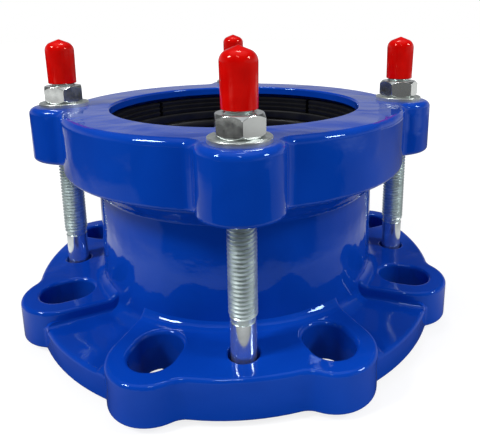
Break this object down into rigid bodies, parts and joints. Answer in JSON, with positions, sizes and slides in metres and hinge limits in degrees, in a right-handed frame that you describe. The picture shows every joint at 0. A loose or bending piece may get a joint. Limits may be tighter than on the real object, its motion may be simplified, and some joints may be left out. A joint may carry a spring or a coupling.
{
  "type": "restrained flanged pipe adaptor",
  "caption": "Cast adaptor that joins a plain-ended pipe to a flange: slotted flange, barrel, bolted end ring, ribbed gasket and toothed wedge grips.",
  "frame": {"origin": "centre of the flange's raised mating face, which is also the lowest point", "axes": "+Z along the pipe axis from the flange to the pipe end, -Y towards the front bolt, +X towards the right bolt"},
  "size_m": [0.2168, 0.2168, 0.1438],
  "materials": {
    "blue_coating": "thick glossy blue epoxy over ductile iron",
    "black_rubber": "moulded, satin",
    "dark_coated_iron": "dark coating over cast teeth",
    "zinc_steel": "bright zinc plate with a faint yellow tint",
    "red_plastic": "glossy dipped cap"
  },
  "bodies": {
    "flange_body": {"flange_body": "blue_coating", "gasket": "black_rubber", "bolt_right": "zinc_steel", "bolt_back": "zinc_steel", "bolt_left": "zinc_steel", "bolt_front": "zinc_steel"},
    "gland": {"end_ring": "blue_coating", "washer_right": "zinc_steel", "washer_back": "zinc_steel", "washer_left": "zinc_steel", "washer_front": "zinc_steel"},
    "nut_right": {"nut_right": "zinc_steel"},
    "nut_back": {"nut_back": "zinc_steel"},
    "nut_left": {"nut_left": "zinc_steel"},
    "nut_front": {"nut_front": "zinc_steel"},
    "cap_right": {"cap_right": "red_plastic"},
    "cap_back": {"cap_back": "red_plastic"},
    "cap_left": {"cap_left": "red_plastic"},
    "cap_front": {"cap_front": "red_plastic"},
    "grip_1": {"grip_1": "dark_coated_iron"},
    "grip_2": {"grip_2": "dark_coated_iron"},
    "grip_3": {"grip_3": "dark_coated_iron"},
    "grip_4": {"grip_4": "dark_coated_iron"},
    "grip_5": {"grip_5": "dark_coated_iron"},
    "grip_6": {"grip_6": "dark_coated_iron"},
    "grip_7": {"grip_7": "dark_coated_iron"},
    "grip_8": {"grip_8": "dark_coated_iron"}
  },
  "joints": [
    {"name": "gland_slide", "type": "slide", "parent": "flange_body", "child": "gland", "axis": [0, 0, -1], "range_m": [0, 0.01], "deforming": ["gasket"]},
    {"name": "nut_right_turn", "type": "hinge", "parent": "gland", "child": "nut_right", "pos_m": [0.091, 0, 0.1155], "axis": [0, 0, 1], "range_deg": [-2058, 0]},
    {"name": "nut_back_turn", "type": "hinge", "parent": "gland", "child": "nut_back", "pos_m": [0, 0.091, 0.1155], "axis": [0, 0, 1], "range_deg": [-2058, 0]},
    {"name": "nut_left_turn", "type": "hinge", "parent": "gland", "child": "nut_left", "pos_m": [-0.091, 0, 0.1155], "axis": [0, 0, 1], "range_deg": [-2058, 0]},
    {"name": "nut_front_turn", "type": "hinge", "parent": "gland", "child": "nut_front", "pos_m": [0, -0.091, 0.1155], "axis": [0, 0, 1], "range_deg": [-2058, 0]},
    {"name": "cap_right_pull", "type": "slide", "parent": "flange_body", "child": "cap_right", "axis": [0, 0, 1], "range_m": [0, 0.025]},
    {"name": "cap_back_pull", "type": "slide", "parent": "flange_body", "child": "cap_back", "axis": [0, 0, 1], "range_m": [0, 0.025]},
    {"name": "cap_left_pull", "type": "slide", "parent": "flange_body", "child": "cap_left", "axis": [0, 0, 1], "range_m": [0, 0.025]},
    {"name": "cap_front_pull", "type": "slide", "parent": "flange_body", "child": "cap_front", "axis": [0, 0, 1], "range_m": [0, 0.025]},
    {"name": "grip_1_wedge", "type": "slide", "parent": "gland", "child": "grip_1", "axis": [-0.5939, -0.246, 0.766], "range_m": [0, 0.003]},
    {"name": "grip_2_wedge", "type": "slide", "parent": "gland", "child": "grip_2", "axis": [-0.246, -0.5939, 0.766], "range_m": [0, 0.003]},
    {"name": "grip_3_wedge", "type": "slide", "parent": "gland", "child": "grip_3", "axis": [0.246, -0.5939, 0.766], "range_m": [0, 0.003]},
    {"name": "grip_4_wedge", "type": "slide", "parent": "gland", "child": "grip_4", "axis": [0.5939, -0.246, 0.766], "range_m": [0, 0.003]},
    {"name": "grip_5_wedge", "type": "slide", "parent": "gland", "child": "grip_5", "axis": [0.5939, 0.246, 0.766], "range_m": [0, 0.003]},
    {"name": "grip_6_wedge", "type": "slide", "parent": "gland", "child": "grip_6", "axis": [0.246, 0.5939, 0.766], "range_m": [0, 0.003]},
    {"name": "grip_7_wedge", "type": "slide", "parent": "gland", "child": "grip_7", "axis": [-0.246, 0.5939, 0.766], "range_m": [0, 0.003]},
    {"name": "grip_8_wedge", "type": "slide", "parent": "gland", "child": "grip_8", "axis": [-0.5939, 0.246, 0.766], "range_m": [0, 0.003]}
  ],
  "couplings": [
    {"joint": "nut_right_turn", "follows": "gland_slide", "rad_per_m": -3590.4},
    {"joint": "nut_back_turn", "follows": "gland_slide", "rad_per_m": -3590.4},
    {"joint": "nut_left_turn", "follows": "gland_slide", "rad_per_m": -3590.4},
    {"joint": "nut_front_turn", "follows": "gland_slide", "rad_per_m": -3590.4},
    {"joint": "grip_1_wedge", "follows": "gland_slide", "ratio": 0.3},
    {"joint": "grip_2_wedge", "follows": "gland_slide", "ratio": 0.3},
    {"joint": "grip_3_wedge", "follows": "gland_slide", "ratio": 0.3},
    {"joint": "grip_4_wedge", "follows": "gland_slide", "ratio": 0.3},
    {"joint": "grip_5_wedge", "follows": "gland_slide", "ratio": 0.3},
    {"joint": "grip_6_wedge", "follows": "gland_slide", "ratio": 0.3},
    {"joint": "grip_7_wedge", "follows": "gland_slide", "ratio": 0.3},
    {"joint": "grip_8_wedge", "follows": "gland_slide", "ratio": 0.3}
  ]
}
